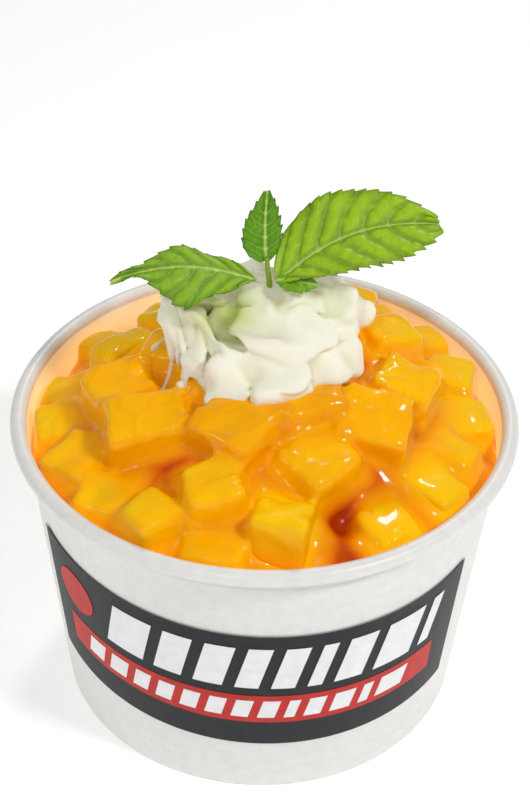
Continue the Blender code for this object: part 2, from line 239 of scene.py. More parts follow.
cup = {
    "height": 73.0, "rim": 56.0, "roll": 1.8, "foot": 46.5, "paper": 0.6, "hem": 1.4, "hemHeight": 6.2,
    "steps": 240, "rollSteps": 28, "wallRows": 14,
    "footBevel": 0.3, "rollGap": 0.4,    # mm; the gap is between the inside wall and the roll
    "seam": 220.0,         # degrees round from the front, where the sheet's end laps over its start
    "seamLap": 9.0,        # degrees of lap
    "seamStep": 0.28,      # how far the lap stands proud
    "seamInside": 0.12,    # how far the lap shows on the inside
    "lightThrough": 0.40,
    # painted bounce light from the mango on the inside wall: its least, the height up to which it is full,
    # and its fade in mm
    "bounceLeast": 0.55, "bounceHeight": 64.0, "bounceFade": 8.0,
}


def wallOutside(height):
    top = cup["rim"] - 2 * cup["roll"] + cup["paper"]
    return cup["foot"] + (top - cup["foot"]) * height / (cup["height"] - cup["roll"])


def wallInside(height):
    return wallOutside(height) - cup["paper"]


def paperMaterial():
    # clay-coated white board, calendered: a soft satin white with a faint fibre mottle
    material, tree, shader = newMaterial("coatedPaperboardSatin", {
        "Roughness": 0.42, "IOR": 1.5, "Coat Weight": 0.12, "Coat Roughness": 0.25})
    mottle = noiseAt(tree, 2.5, 4.0)
    tone = colourRamp(tree, mottle.outputs["Fac"], ((0.3, "#E2E1DD"), (0.7, "#EAE9E5")))
    # painted light: the inside wall is drawn in the mango's yellow towards the sauce, standing in for light
    # bounced off the mango
    glow = addNode(tree, "ShaderNodeAttribute", {"attribute_name": "glow"})
    tint = addNode(tree, "ShaderNodeMix", {"data_type": "RGBA"})
    tree.links.new(glow.outputs["Fac"], tint.inputs[0])
    tree.links.new(tone.outputs["Color"], tint.inputs[6])
    tint.inputs[7].default_value = linear("#FFECA2")
    tree.links.new(tint.outputs[2], shader.inputs["Base Color"])
    # thin board lets the light outside through, so the inside wall stays bright
    through = addNode(tree, "ShaderNodeMath", {"operation": "MULTIPLY", 1: cup["lightThrough"]},
                      {0: glow.outputs["Fac"]})
    tree.links.new(tint.outputs[2], shader.inputs["Emission Color"])
    tree.links.new(through.outputs["Value"], shader.inputs["Emission Strength"])
    fibre = noiseAt(tree, 0.5, 3.0)
    addBump(tree, shader, fibre.outputs["Fac"], 0.03, 0.5)
    return material


def makeCup():
    rollX = cup["rim"] - cup["roll"]
    rollZ = cup["height"] - cup["roll"]
    end = -math.acos((wallOutside(rollZ - cup["roll"]) - rollX) / cup["roll"])
    # the section all the way round: radius, height, share of the seam's step, and share of painted bounce
    # light on the inside
    profile = []
    for step in range(cup["rollSteps"] + 1):
        angle = math.pi + (end - math.pi) * step / cup["rollSteps"]
        profile.append((rollX + cup["roll"] * math.cos(angle), rollZ + cup["roll"] * math.sin(angle),
                        0.0, 0.0))
    wallRows = cup["wallRows"]
    for row in range(1, wallRows + 1):
        z = (rollZ - cup["roll"]) * (1 - row / wallRows)
        profile.append((wallOutside(z), z, 1.0, 0.0))
    inner = cup["foot"] - cup["hem"]
    profile.append((cup["foot"] - cup["footBevel"], 0.0, 0.0, 0.0))
    profile.append((inner, 0.0, 0.0, 0.0))
    profile.append((wallOutside(cup["hemHeight"]) - cup["hem"], cup["hemHeight"], 0.0, 0.0))
    # the inside rows carry the share of painted bounce light, which also sets their painted glow
    least = cup["bounceLeast"]
    for row in range(wallRows + 1):
        z = cup["hemHeight"] + (rollZ - cup["rollGap"] - cup["hemHeight"]) * row / wallRows
        full = 1 - smoothStep((z - cup["bounceHeight"]) / cup["bounceFade"])
        profile.append((wallInside(z), z, 0.0, least + (1 - least) * full))
    points = []
    glow = []
    for step in range(cup["steps"]):
        degrees = 360 * step / cup["steps"]
        angle = math.radians(degrees)
        past = (degrees - cup["seam"]) / cup["seamLap"]
        lap = cup["seamStep"] * (1.0 - past) if 0.0 <= past < 1.0 else 0.0
        for radius, z, outer, inGlow in profile:
            r = radius + lap * outer
            if inGlow and lap:
                r -= cup["seamInside"]
            points.append((r * math.sin(angle), -r * math.cos(angle), z))
            glow.append(inGlow)
    rows = len(profile)
    faces = []
    for step in range(cup["steps"]):
        near = step * rows
        far = (step + 1) % cup["steps"] * rows
        for i in range(rows):
            j = (i + 1) % rows
            faces.append((near + i, near + j, far + j, far + i))
    piece = meshPiece("paper_cup", points, faces, paper, True, {"glow": glow})
    piece.data.set_sharp_from_angle(angle=math.radians(50))
    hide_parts("cup_wall")
    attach(piece, "root")


label = {
    "left": -64.0, "right": 58.0, "bottom": 16.2, "top": 52.2, "tilt": -1.4, "lift": 0.30,
    "band": (-56.0, 49.5, 23.9, 32.9),         # left and right in degrees, bottom and top in mm
    "bars": (-40.5, 46.5, 35.6, 48.4, 9),      # the same, and how many
    "smallBars": (-49.0, 39.0, 25.6, 31.2, 13),
    "barWidths": (0.5, 0.8, 1.0, 1.5),
    "gap": 0.42,                               # between bars, in bar widths
    "lean": 0.24,                              # how far a bar leans for each mm up
    "disc": (-51.5, 42.0, 5.6),                # degrees, height, radius
    "discStretch": 1.05, "discSides": 40,
    # how far each print stands off the label, in mm, thick enough to show
    "bandLift": 0.07, "barsLift": 0.14, "discLift": (0.20, 0.05), "print": 0.06,
    "cell": 1.5,                               # mm between a patch's points
}


def labelPoint(degrees, height, lift):
    # a straight band wrapped on a cone climbs a little towards both of its ends
    slope = math.atan2(wallOutside(60) - wallOutside(0), 60)
    reach = wallOutside(height) / math.sin(slope)
    angle = math.radians(degrees)
    climb = reach * (1.0 / math.cos(angle * math.sin(slope)) - 1.0)
    level = height + climb + wallOutside(height) * angle * math.tan(math.radians(label["tilt"]))
    radius = wallOutside(level) + lift
    return (radius * math.sin(angle), -radius * math.cos(angle), level)


def wrapPatch(left, right, bottom, top, lift, lean=0.0):
    # a four-sided patch on the wall, as points and quads, with its own thickness
    columns = max(2, int(abs(right - left) / label["cell"]))
    rows = max(2, int((top - bottom) / label["cell"]))
    perMm = math.degrees(1.0 / wallOutside((bottom + top) / 2))
    points = []
    for layer in (0.0, label["print"]):
        for i in range(columns + 1):
            for j in range(rows + 1):
                height = bottom + (top - bottom) * j / rows
                degrees = left + (right - left) * i / columns + lean * (height - bottom) * perMm
                points.append(labelPoint(degrees, height, lift + layer))
    size = (columns + 1) * (rows + 1)
    faces = []
    for i in range(columns):
        for j in range(rows):
            a = i * (rows + 1) + j
            b = a + rows + 1
            faces.append((a + size, b + size, b + 1 + size, a + 1 + size))
            faces.append((a, a + 1, b + 1, b))
    rim = [i * (rows + 1) for i in range(columns + 1)]
    rim += [columns * (rows + 1) + j for j in range(1, rows + 1)]
    rim += [i * (rows + 1) + rows for i in range(columns - 1, -1, -1)]
    rim += [j for j in range(rows - 1, 0, -1)]
    for a, b in zip(rim, rim[1:] + rim[:1]):
        faces.append((a, b, b + size, a + size))
    return points, faces


def joinPatches(name, patches, material):
    points = []
    faces = []
    for somePoints, someFaces in patches:
        faces += [tuple(i + len(points) for i in face) for face in someFaces]
        points += somePoints
    piece = meshPiece(name, points, faces, material)
    piece.data.set_sharp_from_angle(angle=math.radians(40))
    return piece


def inkMaterial(name, low, high, roughness):
    # ink offset-printed on gloss label stock: even colour with a slight mottle under a thin varnish
    material, tree, shader = newMaterial(name, {
        "Roughness": roughness, "Specular IOR Level": 0.25, "Coat Weight": 0.05, "Coat Roughness": 0.3})
    mottle = noiseAt(tree, 3.0, 4.0)
    tone = colourRamp(tree, mottle.outputs["Fac"], ((0.3, low), (0.7, high)))
    tree.links.new(tone.outputs["Color"], shader.inputs["Base Color"])
    addBump(tree, shader, noiseAt(tree, 0.6).outputs["Fac"], 0.015, 0.5)
    return material


def makeLabel():
    charcoal = inkMaterial("inkCharcoalVarnished", "#15181A", "#1E2123", 0.5)
    red = inkMaterial("inkRedVarnished", "#BC2016", "#C92A1E", 0.5)
    white = inkMaterial("inkWhiteVarnished", "#E9EAEA", "#F4F4F4", 0.42)
    lift = label["lift"]
    field = wrapPatch(label["left"], label["right"], label["bottom"], label["top"], lift)
    base = joinPatches("label_field", [field], charcoal)
    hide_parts("label")
    left, right, bottom, top = label["band"]
    band = joinPatches("label_band", [wrapPatch(left, right, bottom, top, lift + label["bandLift"])], red)

    middle, height, radius = label["disc"]
    rings = label["discSides"]
    perMm = math.degrees(1.0 / wallOutside(height))
    upper, lower = (lift + share for share in label["discLift"])
    points = [labelPoint(middle, height, upper)]
    for level in (upper, lower):
        for step in range(rings):
            turn = 2 * math.pi * step / rings
            across = radius * label["discStretch"] * math.cos(turn) * perMm
            points.append(labelPoint(middle + across, height + radius * math.sin(turn), level))
    points.append(labelPoint(middle, height, lower))
    faces = []
    for step in range(rings):
        a = 1 + step
        b = 1 + (step + 1) % rings
        faces += [(0, a, b), (a, a + rings, b + rings, b), (2 * rings + 1, b + rings, a + rings)]
    disc = joinPatches("label_disc", [(points, faces)], red)

    patches = []
    for left, right, bottom, top, count in (label["bars"], label["smallBars"]):
        draw = random.Random(count)
        widths = [draw.choice(label["barWidths"]) for _ in range(count)]
        pitch = (right - left) / (sum(widths) + label["gap"] * (count - 1))
        start = left
        for width in widths:
            patches.append(wrapPatch(start, start + pitch * width, bottom, top, lift + label["barsLift"],
                                     label["lean"]))
            start += pitch * (width + label["gap"])
    bars = joinPatches("label_bars", patches, white)
    for piece in (base, band, disc, bars):
        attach(piece, "root")


dice = {
    "rounding": 0.80,      # mm, how soft the cut edges are
    "roundingSpread": (0.8, 1.35),    # least and most share of it, die by die
    "unevenness": 0.28,    # mm, how far a face strays
    "bendLength": 6.0, "grain": 0.03, "grainLength": 1.6,    # mm between bends, and the finer grain's
    "cuts": 17,
    "shadeReach": 11.0, "deepestShade": 0.6,    # painted shade: the flesh is drawn deeper orange over so many mm down from each die's top, so far, as less light from above reaches its lower sides
    # how thickly the sauce coats each die: below zero it stays bare on top
    "coats": {1: -0.45, 2: 0.4, 3: 0.6, 4: 0.1, 5: 0.4, 6: 0.2, 7: 0.25, 8: 0.9, 9: 1.1, 10: -0.1, 11: -0.4,
              12: 0.0, 13: 0.5, 14: 0.0, 15: 0.2, 16: 0.0, 17: 0.2, 18: 0.6, 19: 0.1, 20: -0.1, 21: 0.7,
              22: 0.4, 23: -0.3, 24: -0.2},
    "hiddenCoat": 0.15,
}


def mainPlanes(node):
    # a block's six faces as outward normals and distances, its edges' chamfers left out
    sameWay = 0.95         # how nearly two triangles face one way to be of one face
    groups = []
    for face in node.data.polygons:
        area = face.area / mm ** 2
        normal = np.array(face.normal)
        push = normal @ (np.array(face.center) / mm)
        for group in groups:
            if group["normal"] @ normal > sameWay * np.linalg.norm(group["normal"]):
                break
        else:
            group = {"normal": np.zeros(3), "push": 0.0, "area": 0.0}
            groups.append(group)
        group["normal"] = group["normal"] + normal * area
        group["push"] += push * area
        group["area"] += area
    groups.sort(key=lambda group: -group["area"])
    normals = np.array([g["normal"] / np.linalg.norm(g["normal"]) for g in groups[:6]])
    pushes = np.array([g["push"] / np.linalg.norm(g["normal"]) for g in groups[:6]])
    return normals, pushes


def readDice():
    blocks = []
    for name in sorted(n for n in nodes if n.startswith("mango_dice")):
        number = int(name[-2:])
        low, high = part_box(name)
        normals, pushes = mainPlanes(nodes[name])
        middle = np.array((low + high) / 2) / mm
        draw = random.Random(number)
        blocks.append({
            "name": name, "number": number, "normals": normals, "pushes": pushes, "middle": middle,
            "top": high.z / mm, "reach": (high - low).length / mm / 2,
            "rounding": dice["rounding"] * draw.uniform(*dice["roundingSpread"]),
            "coat": dice["coats"].get(number, dice["hiddenCoat"])})
    return blocks


def blockField(block, points):
    # distance to the block's rounded surface, negative inside
    k = block["rounding"]
    planes = points @ block["normals"].T - block["pushes"]
    most = planes.max(-1)
    return most + k * np.log(np.exp((planes - most[..., None]) / k).sum(-1))


def mangoMaterial():
    # ripe mango flesh, knife-cut and wet: saturated yellow, faint fibres, glossy where juice clings
    material, tree, shader = newMaterial("ripeMangoFleshKnifeCut", {
        "Roughness": 0.3, "IOR": 1.34, "Specular IOR Level": 0.15, "Coat Weight": 0.5,
        "Coat Roughness": 0.05, "Coat IOR": 1.33, "Subsurface Weight": 0.12,
        "Subsurface Radius": (1.0, 0.5, 0.03), "Subsurface Scale": 0.002})
    # painted shade: the depth attribute draws each die deeper orange further down
    depth = addNode(tree, "ShaderNodeAttribute", {"attribute_name": "depth"})
    cloud = noiseAt(tree, 3.5, 3.0)
    mixed = addNode(tree, "ShaderNodeMath", {"operation": "MULTIPLY_ADD", 1: 0.35},
                    {0: cloud.outputs["Fac"], 2: depth.outputs["Fac"]})
    tone = colourRamp(tree, mixed.outputs["Value"], (
        (0.10, "#FFCE00"), (0.35, "#FFBE00"), (0.65, "#FAA600"), (1.0, "#F08E00")))
    tree.links.new(tone.outputs["Color"], shader.inputs["Base Color"])
    place = addNode(tree, "ShaderNodeTexCoord")
    # fibres 0.6 mm across and 4 mm long
    stretch = addNode(tree, "ShaderNodeMapping", {"Scale": (1600, 260, 1600)},
                      {"Vector": place.outputs["Object"]})
    fibre = addNode(tree, "ShaderNodeTexNoise", {"Scale": 1.0, "Detail": 2.0},
                    {"Vector": stretch.outputs["Vector"]})
    addBump(tree, shader, fibre.outputs["Fac"], 0.08, 0.6)
    return material


def makeDice(blocks):
    for block in blocks:
        bm = bmesh.new()
        bmesh.ops.create_cube(bm, size=2.0)
        bmesh.ops.subdivide_edges(bm, edges=bm.edges, cuts=dice["cuts"], use_grid_fill=True)
        cube = np.array([v.co for v in bm.verts])
        faces = [[v.index for v in f.verts] for f in bm.faces]
        bm.free()
        # three of the six faces give the block's own directions and half sizes
        middle = block["middle"]
        normals = block["normals"]
        far = block["pushes"] - normals @ middle
        picked = []
        for i in range(6):
            if all(abs(normals[i] @ normals[other]) < 0.5 for other in picked):
                picked.append(i)
        axes = np.array([normals[i] * far[i] for i in picked[:3]])
        if np.linalg.det(axes) < 0:
            axes[2] = -axes[2]
        rays = np.sin(cube * math.pi / 2) @ axes
        rays /= np.linalg.norm(rays, axis=1)[:, None]
        # the surface along each ray, found by halving
        near = np.zeros(len(rays))
        out = np.full(len(rays), 30.0)    # mm, past any die's corner
        for _ in range(26):
            half = (near + out) / 2
            inside = blockField(block, middle + rays * half[:, None]) < 0
            near = np.where(inside, half, near)
            out = np.where(inside, out, half)
        points = middle + rays * near[:, None]
        seed = block["number"]
        stray = ripple(points, dice["bendLength"], seed) * dice["unevenness"]
        stray += ripple(points, dice["grainLength"], seed + 50) * dice["grain"]
        points = points + rays * stray[:, None]
        # painted shade, deeper orange further below the die's top
        depth = np.clip((block["top"] - points[:, 2]) / dice["shadeReach"], 0, 1) * dice["deepestShade"]
        name = block["name"].replace("dice", "piece")
        piece = meshPiece(name, points, faces, mango, True, {"depth": depth})
        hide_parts(block["name"])
        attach(piece, "root")


sauce = {
    # the grid: mm between its points, its heights and its half width; then how softly the shapes join
    "step": 0.6, "low": 55.0, "high": 92.0, "reach": 53.4, "blend": 1.25,
    "heapEdge": 66.5, "heapLean": 5.5, "heapPeak": 88.5, "heapRadius": 52.0, "heapPower": 2.6,
    "depth": 5.0, "edgeDepth": 2.4, "edgePower": 6,
    "firm": 0.85, "swell": 0.5, "swellLength": 13.0,
    "wallOverlap": 0.2,
    # pools between the dice, where the sauce lies low: across, back, radius and drop
    "pools": ((17, -36, 5, 5.0), (26, -32, 6, 2.5), (-31, -24, 4, 3.5), (-14, -43, 4, 4.0),
              (-3, -46, 4, 3.5), (12, -15, 4, 3.0), (-49, -10, 4, 3.0), (6, -48, 6, 3.0),
              (-22, -29, 5, 1.5), (31, -12, 5, 1.5)),
    # the coat in mm: its unevenness, then what runs down the sides of a die that isn't bare
    "coatRipple": 0.28, "coatLength": 8.0, "bareBelow": 0.05, "run": 0.45, "runReach": 8.0,
    # what was poured over the middle: mm thick, from what height and how far back, with both fades
    "poured": 0.35, "pouredHeight": 76.0, "heightFade": 9.0, "pouredBack": 10.0, "backFade": 12.0,
    # crimps in the film: mm high, share of the surface, mm between them, and how much shows unpoured
    "crimp": 0.36, "crimpWidth": 0.22, "crimpLength": 9.5, "crimpLeast": 0.35,
    # what deepens the colour: the film's thickness; its depth below the heap and its square, partly deeper
    # sauce and partly painted shade in gaps the light barely reaches; and painted shade on steep sides,
    # which face away from the light above
    "thickest": 6.0, "filmTint": 7.0, "sunkFrom": 3.0, "sunkMost": 12.0, "sunkShade": 0.03,
    "sunkSquareShade": 0.014, "steepShade": 0.07,
    "scatter": 0.035,      # light that comes back out of the puree
}


def heapTop(x, y):
    # the height the dice are heaped to, and the share of the way out to the wall
    share = np.minimum(np.hypot(x, y) / sauce["heapRadius"], 1.0)
    edge = sauce["heapEdge"] - sauce["heapLean"] * y / sauce["heapRadius"]
    return edge + (sauce["heapPeak"] - edge) * (1.0 - share ** sauce["heapPower"]), share


def sauceLevel(points):
    x, y = points[..., 0], points[..., 1]
    top, share = heapTop(x, y)
    level = top - sauce["depth"] + (sauce["depth"] - sauce["edgeDepth"]) * share ** sauce["edgePower"]
    for px, py, radius, drop in sauce["pools"]:
        level = level - drop * np.exp(-((x - px) ** 2 + (y - py) ** 2) / radius ** 2)
    return level


def sauceMaterial():
    # mango puree sauce, strained and poured: a smooth glossy film, deep orange where it pools, darker still
    # with painted shade in the deep gaps and on steep sides
    material, tree, shader = newMaterial("mangoPureeSaucePoured", {
        "Roughness": 0.2, "IOR": 1.34, "Specular IOR Level": 0.12, "Coat Weight": 0.6,
        "Coat Roughness": 0.025, "Coat IOR": 1.33, "Subsurface Weight": 0.1,
        "Subsurface Radius": (1.0, 0.5, 0.02), "Subsurface Scale": 0.002,
        "Emission Strength": sauce["scatter"]})
    # the film attribute carries the film's thickness together with painted shade in the gaps and on steep
    # sides
    film = addNode(tree, "ShaderNodeAttribute", {"attribute_name": "film"})
    cloud = noiseAt(tree, 5.0, 2.0)
    mixed = addNode(tree, "ShaderNodeMath", {"operation": "MULTIPLY_ADD", 1: 0.14},
                    {0: cloud.outputs["Fac"], 2: film.outputs["Fac"]})
    tone = colourRamp(tree, mixed.outputs["Value"], (
        (0.06, "#FFC600"), (0.20, "#FCB400"), (0.38, "#F5A200"), (0.60, "#EC8E00"), (0.80, "#D86400"),
        (1.0, "#A83000")))
    tree.links.new(tone.outputs["Color"], shader.inputs["Base Color"])
    # light scattered through the puree keeps its shaded sides bright
    tree.links.new(tone.outputs["Color"], shader.inputs["Emission Color"])
    addBump(tree, shader, noiseAt(tree, 2.6, 2.0, 0.4).outputs["Fac"], 0.15, 0.5)
    return material


def coatOn(block, flat):
    # how thick the sauce is round a die at some points, in mm
    down = np.clip((block["top"] - flat[:, 2]) / sauce["runReach"], 0, 1)
    poured = smoothStep((flat[:, 2] - sauce["pouredHeight"]) / sauce["heightFade"])
    poured *= smoothStep((sauce["pouredBack"] - flat[:, 1]) / sauce["backFade"])
    coat = block["coat"] + sauce["coatRipple"] * ripple(flat, sauce["coatLength"], 90 + block["number"])
    if block["coat"] > sauce["bareBelow"]:
        crimp = np.exp(-(ripple(flat, sauce["crimpLength"], 77) / sauce["crimpWidth"]) ** 2)
        shown = sauce["crimpLeast"] + (1 - sauce["crimpLeast"]) * poured
        coat += sauce["run"] * down + sauce["poured"] * poured + sauce["crimp"] * crimp * shown
    return coat


def makeSauce(blocks):
    step = sauce["step"]
    reach = sauce["reach"]
    low = np.array([-reach, -reach, sauce["low"] - 2 * step])
    grid = gridPoints(low, (reach, reach, sauce["high"]), step)
    k = sauce["blend"]
    mound = (grid[..., 2] - sauceLevel(grid)) * sauce["firm"]
    mound += ripple(grid.reshape(-1, 3), sauce["swellLength"], 3).reshape(mound.shape) * sauce["swell"]
    total = np.exp(np.clip(-mound / k, -30, 30))
    for block in blocks:
        around = block["reach"] + 4.0    # mm, past the thickest coat
        first = np.maximum(((block["middle"] - around - low) / step).astype(int), 0)
        last = ((block["middle"] + around - low) / step).astype(int) + 1
        window = tuple(slice(a, b) for a, b in zip(first, last))
        spots = grid[window]
        flat = spots.reshape(-1, 3)
        distance = (blockField(block, flat) - coatOn(block, flat)).reshape(spots.shape[:3])
        total[window] += np.exp(np.clip(-distance / k, -30, 30))
    field = -k * np.log(total)
    wall = np.hypot(grid[..., 0], grid[..., 1]) - (wallInside(grid[..., 2]) + sauce["wallOverlap"])
    field = np.maximum(field, wall)
    field = np.maximum(field, sauce["low"] - grid[..., 2])
    points, quads = surfaceNet(field, low, step)
    piece = meshPiece("mango_sauce", points, quads, mangoSauce)

    film = np.full(len(points), sauce["thickest"])
    for block in blocks:
        near = np.linalg.norm(points - block["middle"], axis=1) < block["reach"] + sauce["thickest"]
        film[near] = np.minimum(film[near], np.maximum(blockField(block, points[near]), 0.0))
    top = heapTop(points[:, 0], points[:, 1])[0]
    sunk = np.clip(top - points[:, 2] - sauce["sunkFrom"], 0.0, sauce["sunkMost"])
    normals = np.zeros(len(points) * 3)
    piece.data.vertex_normals.foreach_get("vector", normals)
    steep = 1.0 - np.clip(normals.reshape(-1, 3)[:, 2], 0, 1)
    # painted shade: deeper colour where the sauce lies sunk below the heap and on steep sides
    shade = film / sauce["filmTint"] + sauce["sunkShade"] * sunk + sauce["sunkSquareShade"] * sunk ** 2
    shade = np.clip(shade + sauce["steepShade"] * steep, 0, 1)
    attribute = piece.data.attributes.new("film", "FLOAT", "POINT")
    attribute.data.foreach_set("value", shade.astype(np.float32))
    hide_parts("sauced_ice")
    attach(piece, "root")
    print("sauce", len(points), "points")
    return BVHTree.FromPolygons([Vector(p) for p in points.tolist()], quads.tolist())


# each fold: its middle and its three half sizes in mm, then its turn, forward and sideways lean in degrees
creamFolds = (
    (0, 0, 88, 17.5, 16.5, 9, 0, 0, 0),             # the mass under the folds
    (0.3, 3, 92.5, 13, 12, 8.5, 0, 0, 0),
    (4.3, -8.6, 98.0, 11.2, 7.6, 2.0, -5, 20, 3),   # the great fold and its lip
    (1.8, -15.6, 93.2, 7.8, 4.6, 1.7, -14, 42, -4),
    (-8.6, -16.2, 89.6, 5.8, 6.8, 2.2, 10, 48, -18),
    (0.4, -18.7, 88.6, 4.5, 6.0, 2.1, 6, 50, 4),
    (-1.2, -21.4, 86.9, 1.4, 3.2, 1.3, 8, 36, 0),
    (6.4, -16.6, 89.8, 4.2, 3.4, 1.6, 26, 50, 14),
    (9.6, -14.4, 89.0, 1.2, 3.4, 1.2, 10, 56, 10),
    (13.0, -10.8, 91.6, 7.0, 4.4, 1.8, 14, 46, 22),
    (17.6, -6.6, 90.2, 3.4, 4.4, 2.0, -24, 50, 36),
    (15.6, -0.5, 95.2, 4.8, 9.8, 3.4, -5, 44, 30),
    (12.6, 4, 99.0, 5.4, 6.0, 3.2, 12, 30, 22),
    (7.7, 0.5, 100.4, 5.6, 4.6, 2.2, 6, 12, 8),
    (-1.6, -0.5, 100.8, 5.2, 6.0, 2.6, 22, 22, -4),
    (-12.2, -7.6, 95.8, 8.6, 1.3, 2.4, -52, 30, -14),
    (-6.4, -12.4, 93.6, 4.6, 2.0, 1.9, -24, 36, -10),
    (-15.8, -1.0, 95.2, 2.4, 7.4, 3.0, 16, 34, -30),
    (-19.4, 1.5, 93.8, 3.4, 7.2, 3.4, 10, 26, -36),
    (-17.6, -3.4, 93.4, 1.0, 6.0, 2.2, 14, 44, -28),
    (-13.6, 5, 97.6, 5.2, 5.2, 3.2, 20, 6, -24),
    (-14.6, -8.9, 91.2, 3.6, 5.4, 2.5, -14, 48, -30),
    (-20.2, -2.6, 90.0, 1.3, 4.4, 1.4, 6, 60, -10),
    (-18.3, -5.8, 88.6, 1.2, 4.6, 1.4, 2, 60, -10),
    (-16.2, -9.4, 87.2, 1.4, 4.6, 1.5, -8, 58, -8),
    (-12.8, -12.6, 87.0, 1.5, 4.4, 1.6, -6, 58, -6),
    (10, 14, 93, 8, 6, 6.4, 30, -24, 14),           # the folds at the back
    (-6, 15, 92.5, 9, 6, 7, -20, -26, -8),
    (-16, 10, 91, 6, 6.5, 8, 30, -14, -24),
    (2, 19, 87, 7, 4.5, 7, 0, -26, 0),
    (16, 9, 90, 5.6, 7, 7, -20, -12, 26),
    (3, 10, 98.5, 8, 5, 3, 12, -22, 4),
)
cream = {
    # the grid's corners and mm between its points, then how softly the folds join
    "low": (-27.0, -27.0, 74.0), "high": (27.0, 27.0, 106.0), "step": 0.45, "blend": 0.20,
    "bend": 1.3, "bendLength": 8.0, "wrinkle": 0.30, "wrinkleLength": 6.0,    # mm and mm between
    # the frayed lower edge: mm of fraying, mm it draws in, the height it starts below, and its fade
    "ragged": 0.78, "drawnIn": 0.6, "raggedHeight": 92.0, "raggedFade": 7.0, "streaks": (9, 17),
    # the green light under the left leaf: its middle and its half sizes
    "glowPlace": (-8.5, -4.0, 99.5), "glowSize": (11, 10, 9),
}
trickle = {
    # melted cream: half width in mm, then the path across and back
    "paths": (
        (1.0, ((-18.0, 2.5), (-20.2, -1.5), (-21.5, -5.5), (-22.4, -9.0), (-24.2, -11.3), (-26.6, -12.4))),
        (1.1, ((-15.8, -7.0), (-17.2, -10.0), (-18.2, -12.3))),
        (0.9, ((-20.5, 6.5), (-23.4, 4.0), (-24.6, 1.2))),
        (0.7, ((16.0, -6.5), (19.5, -7.5), (21.8, -8.6), (23.4, -10.4)))),
    "spacing": 0.5, "above": 110.0, "slack": 6,    # mm between points, height they drop from, easing rounds
    "waist": 0.45, "wobble": 0.12, "wobbles": 9, "tip": 7,
}


def creamMaterial():
    # dairy cream, whipped to soft peaks: matte, warm white, finely bubbled, glowing in its thin edges
    material, tree, shader = newMaterial("dairyCreamWhipped", {
        "Roughness": 0.55, "IOR": 1.36, "Subsurface Weight": 0.3,
        "Subsurface Radius": (1.0, 0.85, 0.6), "Subsurface Scale": 0.004})
    cloud = noiseAt(tree, 6.0, 3.0)
    tone = colourRamp(tree, cloud.outputs["Fac"], ((0.3, "#F5F1DA"), (0.7, "#FBF8E6")))
    leafGlow = addNode(tree, "ShaderNodeAttribute", {"attribute_name": "leafGlow"})
    tint = addNode(tree, "ShaderNodeMix", {"data_type": "RGBA"})
    tree.links.new(leafGlow.outputs["Fac"], tint.inputs[0])
    tree.links.new(tone.outputs["Color"], tint.inputs[6])
    tint.inputs[7].default_value = linear("#BCCB4E")
    # painted shade: the creases, where pointiness is low, are darkened to a greenish yellow
    form = addNode(tree, "ShaderNodeNewGeometry")
    creaseShade = colourRamp(tree, form.outputs["Pointiness"], ((0.41, "#C2C27A"), (0.50, "#FFFFFF")))
    shaded = addNode(tree, "ShaderNodeMix", {"data_type": "RGBA", "blend_type": "MULTIPLY", 0: 1.0})
    tree.links.new(tint.outputs[2], shaded.inputs[6])
    tree.links.new(creaseShade.outputs["Color"], shaded.inputs[7])
    tree.links.new(shaded.outputs[2], shader.inputs["Base Color"])
    addBump(tree, shader, noiseAt(tree, 0.9, 4.0, 0.6).outputs["Fac"], 0.10, 0.5)
    return material


def meltedCreamMaterial():
    # cream that has melted and run: thin, glossy and a little tinted by the sauce under it
    material, tree, shader = newMaterial("dairyCreamMelted", {
        "Roughness": 0.25, "IOR": 1.35, "Subsurface Weight": 0.2,
        "Subsurface Radius": (1.0, 0.7, 0.3), "Subsurface Scale": 0.002})
    cloud = noiseAt(tree, 2.0, 2.0)
    tone = colourRamp(tree, cloud.outputs["Fac"], ((0.35, "#F3D8A4"), (0.65, "#F6E8CC")))
    tree.links.new(tone.outputs["Color"], shader.inputs["Base Color"])
    return material


def foldField(spots, fold):
    # distance to one fold's ellipsoid, close enough near its surface
    x, y, z, a, b, c, turn, forward, sideways = fold
    spin = Matrix.Rotation(math.radians(forward), 3, "X") @ Matrix.Rotation(math.radians(sideways), 3, "Y")
    spin = np.array(spin @ Matrix.Rotation(math.radians(turn), 3, "Z"))
    own = (spots - np.array([x, y, z])) @ spin
    size = np.array([a, b, c])
    k0 = np.linalg.norm(own / size, axis=1)
    k1 = np.linalg.norm(own / size ** 2, axis=1)
    return k0 * (k0 - 1.0) / np.maximum(k1, 1e-6)


def makeCream():
    low = np.array(cream["low"])
    step = cream["step"]
    grid = gridPoints(low, cream["high"], step)
    flat = grid.reshape(-1, 3)
    bend = np.stack([ripple(flat, cream["bendLength"], seed) for seed in (21, 22, 23)], 1)
    warped = flat + bend * cream["bend"]
    total = np.zeros(len(flat))
    for fold in creamFolds:
        total += np.exp(np.clip(-foldField(warped, fold) / cream["blend"], -30, 30))
    field = -cream["blend"] * np.log(total + 1e-13)
    # vertical streaks and drips that fray the lower edge
    around = np.arctan2(flat[:, 1], flat[:, 0])
    broad, fine = cream["streaks"]
    drip = np.sin(around * broad + 2.0 * np.sin(around * 3)) + 0.5 * np.sin(around * fine + 1.0)
    lowShare = smoothStep((cream["raggedHeight"] - flat[:, 2]) / cream["raggedFade"])
    field -= drip * lowShare * cream["ragged"]
    field += (lowShare ** 2) * cream["drawnIn"]
    field += cream["wrinkle"] * np.abs(ripple(warped, cream["wrinkleLength"], 31))
    field = field.reshape(grid.shape[:3])
    field = np.maximum(field, (low[2] + 1.0) - grid[..., 2])    # closed below
    points, quads = surfaceNet(field, low, step)
    away = (points - np.array(cream["glowPlace"])) / np.array(cream["glowSize"])
    glow = smoothStep(1.0 - np.linalg.norm(away, axis=1))
    piece = meshPiece("whipped_cream", points, quads, whippedCream, True, {"leafGlow": glow})
    smooth = piece.modifiers.new("soften", "SMOOTH")
    smooth.factor = 0.5
    smooth.iterations = 1
    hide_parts("cream_dollop")
    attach(piece, "root")
    print("cream", len(points), "points")


